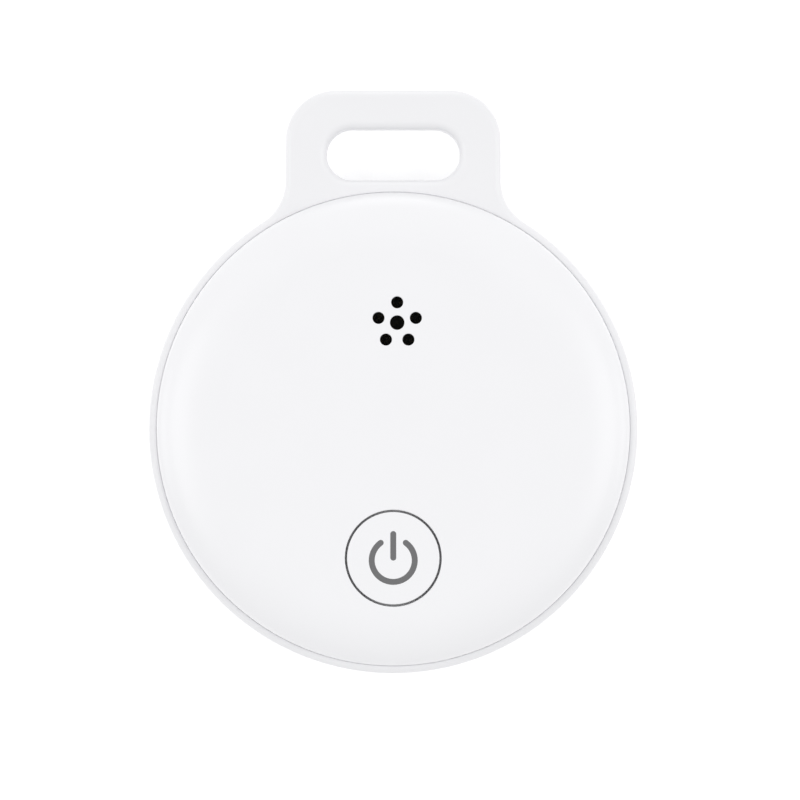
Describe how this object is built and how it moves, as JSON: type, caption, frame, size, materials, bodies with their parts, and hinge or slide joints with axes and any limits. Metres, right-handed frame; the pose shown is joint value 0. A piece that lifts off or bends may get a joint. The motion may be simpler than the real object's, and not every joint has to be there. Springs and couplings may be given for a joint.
{
  "type": "bluetooth tracker tag",
  "caption": "Round item-finder tag with a crowned front cover, sound holes, a push button, a lanyard loop and a bayonet battery door on the back that opens with a coin.",
  "frame": {"origin": "centre of the round body, on the plane of the flat back face that the tag rests on", "axes": "+Z out of the front face, +Y towards the lanyard loop, +X to the right when the front face is seen with the loop at the top"},
  "size_m": [0.04, 0.0477, 0.0088],
  "materials": {
    "case_plastic": "satin white moulding, faint moulded grain",
    "cover_plastic": "white, soft gloss",
    "seal_rubber": "matt dark grey elastomer",
    "mesh_cloth": "black woven acoustic mesh",
    "adhesive": "clear double-sided adhesive ring",
    "sounder_brass": "rolled brass disc",
    "sounder_ceramic": "silvered ceramic disc",
    "spring_steel": "bright spring steel",
    "button_plastic": "white, soft gloss",
    "symbol_ink": "matt grey inlay",
    "membrane_silicone": "translucent white silicone",
    "switch_plastic": "black heat-resistant moulding",
    "plunger_plastic": "black moulding",
    "switch_plate": "tin-plated steel plate",
    "board_laminate": "glass-epoxy laminate with dark green solder mask",
    "chip_resin": "black moulding compound",
    "crystal_can": "metal lid",
    "inductor_ferrite": "dark grey ferrite",
    "capacitor_resin": "amber moulded resin",
    "passive_ceramic": "brown fired ceramic with tinned ends",
    "trace_metal": "gold-plated copper",
    "screw_steel": "zinc-plated steel",
    "tray_plastic": "light grey moulding",
    "contact_steel": "nickel-plated spring steel",
    "cell_steel": "bright nickel-plated steel",
    "gasket_plastic": "translucent moulding",
    "cathode_pellet": "pressed black powder",
    "separator_paper": "white felt paper",
    "anode_metal": "soft grey metal",
    "door_plastic": "satin white moulding",
    "pad_foam": "dark closed-cell foam"
  },
  "bodies": {
    "case": {"rear_case": "case_plastic", "front_cover": "cover_plastic", "perimeter_seal": "seal_rubber", "sound_mesh": "mesh_cloth", "mesh_adhesive": "adhesive", "piezo_plate": "sounder_brass", "piezo_ceramic": "sounder_ceramic", "piezo_contacts": "spring_steel", "button_membrane": "membrane_silicone", "switch_base": "switch_plastic", "switch_dome": "spring_steel", "switch_cover": "switch_plate", "circuit_board": "board_laminate", "radio_chip": "chip_resin", "radio_crystal": "crystal_can", "clock_crystal": "crystal_can", "motion_sensor": "chip_resin", "boost_inductor": "inductor_ferrite", "bulk_capacitors": "capacitor_resin", "passives": "passive_ceramic", "antenna_trace": "trace_metal", "test_pads": "trace_metal", "board_screws": "screw_steel", "battery_tray": "tray_plastic", "positive_contact": "contact_steel", "negative_contact": "contact_steel", "cell_can": "cell_steel", "cell_gasket": "gasket_plastic", "cell_cap": "cell_steel", "cell_cathode": "cathode_pellet", "cell_separator": "separator_paper", "cell_anode": "anode_metal"},
    "power_button": {"button_cap": "button_plastic", "power_symbol": "symbol_ink", "switch_plunger": "plunger_plastic"},
    "battery_door": {"battery_door": "door_plastic", "door_seal": "seal_rubber", "door_pad": "pad_foam"}
  },
  "joints": [
    {"name": "button_press", "type": "slide", "parent": "case", "child": "power_button", "axis": [0, 0, -1], "range_m": [0, 0.00015], "stiffness_N_per_m": 2000, "springref_m": -0.0005, "deforming": ["button_membrane", "switch_dome"]},
    {"name": "door_twist", "type": "hinge", "parent": "case", "child": "battery_door", "pos_m": [0, 0, 0], "axis": [0, 0, -1], "range_deg": [0, 30]}
  ]
}
